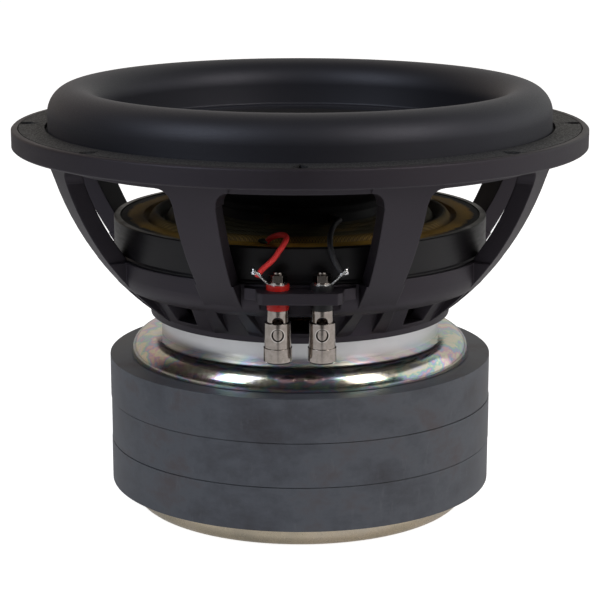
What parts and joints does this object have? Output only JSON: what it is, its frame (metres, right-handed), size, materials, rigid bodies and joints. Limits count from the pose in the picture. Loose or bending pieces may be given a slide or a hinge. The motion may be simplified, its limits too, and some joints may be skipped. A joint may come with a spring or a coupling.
{
  "type": "car subwoofer driver",
  "caption": "Round car subwoofer driver: spoked cast frame, rolled surround, cone on two cloth spiders, magnet stack, and spring-loaded push terminals.",
  "frame": {"origin": "centre of the back plate's rear face", "axes": "+Z along the axis from the magnet to the cone; the front pair of terminals is on the -Y side, with red at -X"},
  "size_m": [0.2664, 0.2664, 0.1987],
  "materials": {
    "cast_frame": "cast aluminium under a satin black powder coat with a fine grain",
    "gasket": "grainy dark grey closed-cell rubber",
    "surround": "black rubber-skinned foam with a fine leathery grain",
    "spacer_plastic": "moulded black plastic, satin",
    "spider_cloth": "mustard yellow woven cotton stiffened with resin",
    "machined_aluminium": "turned aluminium, matt silver",
    "zinc_steel": "zinc-plated steel with a faint rainbow passivation",
    "ferrite": "ground ferrite, dark blue grey",
    "adhesive": "dark epoxy bond lines",
    "back_steel": "zinc-plated steel, pale yellow tan",
    "screw_steel": "black oxide steel",
    "cone_body": "pressed black composite, matt",
    "former": "thin rolled former, tan varnish",
    "copper": "enamelled copper wire",
    "terminal_nickel": "nickel-plated, warm and bright",
    "spring_steel": "bright spring steel",
    "red_plastic": "red moulded plastic",
    "lug_tin": "tinned brass, bright",
    "red_sleeve": "shiny red sleeve over a braided lead",
    "black_plastic": "black moulded plastic",
    "black_sleeve": "dark grey sleeve over a braided lead"
  },
  "bodies": {
    "frame": {"frame": "cast_frame", "mounting_gasket": "gasket", "surround": "surround", "spider_spacer": "spacer_plastic", "upper_spider": "spider_cloth", "lower_spider": "spider_cloth", "adapter_ring": "machined_aluminium", "top_plate": "zinc_steel", "magnet_upper": "ferrite", "magnet_middle": "ferrite", "magnet_lower": "ferrite", "magnet_adhesive": "adhesive", "back_plate": "back_steel", "pole_piece": "zinc_steel", "shorting_ring": "machined_aluminium", "frame_screws": "screw_steel", "terminal_nuts": "terminal_nickel", "terminal_washers": "terminal_nickel", "post_front_red": "terminal_nickel", "spring_front_red": "spring_steel", "insulators_front_red": "red_plastic", "lug_front_red": "lug_tin", "lead_front_red": "red_sleeve", "post_front_black": "terminal_nickel", "spring_front_black": "spring_steel", "insulators_front_black": "black_plastic", "lug_front_black": "lug_tin", "lead_front_black": "black_sleeve", "post_rear_red": "terminal_nickel", "spring_rear_red": "spring_steel", "insulators_rear_red": "red_plastic", "lug_rear_red": "lug_tin", "lead_rear_red": "red_sleeve", "post_rear_black": "terminal_nickel", "spring_rear_black": "spring_steel", "insulators_rear_black": "black_plastic", "lug_rear_black": "lug_tin", "lead_rear_black": "black_sleeve"},
    "moving_cone": {"cone": "cone_body", "dust_cap": "cone_body", "coil_former": "former", "inner_winding": "copper", "outer_winding": "copper", "coil_leadouts": "copper"},
    "push_front_red": {"sleeve_front_red": "terminal_nickel", "sleeve_cap_front_red": "terminal_nickel"},
    "push_front_black": {"sleeve_front_black": "terminal_nickel", "sleeve_cap_front_black": "terminal_nickel"},
    "push_rear_red": {"sleeve_rear_red": "terminal_nickel", "sleeve_cap_rear_red": "terminal_nickel"},
    "push_rear_black": {"sleeve_rear_black": "terminal_nickel", "sleeve_cap_rear_black": "terminal_nickel"}
  },
  "joints": [
    {"name": "cone_stroke", "type": "slide", "parent": "frame", "child": "moving_cone", "axis": [0, 0, 1], "range_m": [-0.016, 0.016], "stiffness_N_per_m": 6000, "deforming": ["surround", "upper_spider", "lower_spider", "lead_front_red", "lead_front_black", "lead_rear_red", "lead_rear_black"]},
    {"name": "push_front_red", "type": "slide", "parent": "frame", "child": "push_front_red", "axis": [0, 0, 1], "range_m": [0, 0.0053], "stiffness_N_per_m": 1000, "springref_m": -0.004, "deforming": ["spring_front_red"]},
    {"name": "push_front_black", "type": "slide", "parent": "frame", "child": "push_front_black", "axis": [0, 0, 1], "range_m": [0, 0.0053], "stiffness_N_per_m": 1000, "springref_m": -0.004, "deforming": ["spring_front_black"]},
    {"name": "push_rear_red", "type": "slide", "parent": "frame", "child": "push_rear_red", "axis": [0, 0, 1], "range_m": [0, 0.0053], "stiffness_N_per_m": 1000, "springref_m": -0.004, "deforming": ["spring_rear_red"]},
    {"name": "push_rear_black", "type": "slide", "parent": "frame", "child": "push_rear_black", "axis": [0, 0, 1], "range_m": [0, 0.0053], "stiffness_N_per_m": 1000, "springref_m": -0.004, "deforming": ["spring_rear_black"]}
  ]
}
